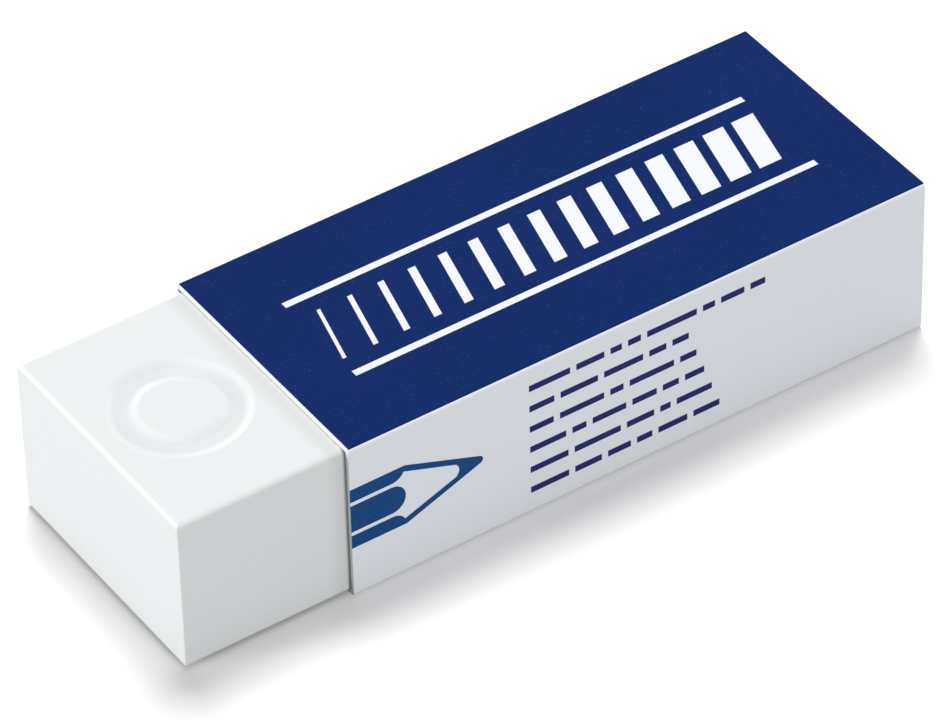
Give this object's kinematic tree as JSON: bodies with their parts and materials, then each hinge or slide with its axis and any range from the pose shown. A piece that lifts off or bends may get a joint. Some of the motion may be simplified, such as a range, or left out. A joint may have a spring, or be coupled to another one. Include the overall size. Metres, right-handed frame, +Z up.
{
  "type": "eraser",
  "caption": "White soft vinyl eraser block in a folded, printed card sleeve that slides back along it as the working end wears.",
  "frame": {"origin": "on the table under the sleeve, at the middle of the block's length and of the sleeve's width", "axes": "+X along the block from its bare working end towards the flush end, +Y across it to the side with the lap seam, +Z up"},
  "size_m": [0.065, 0.0228, 0.0139],
  "materials": {
    "white_vinyl": "matte",
    "printed_card": "satin"
  },
  "bodies": {
    "block": {"eraser_block": "white_vinyl"},
    "sleeve": {"card_sleeve": "printed_card"}
  },
  "joints": [
    {"name": "sleeve_slide", "type": "slide", "parent": "block", "child": "sleeve", "axis": [1, 0, 0], "range_m": [-0.014, 0.04]}
  ]
}
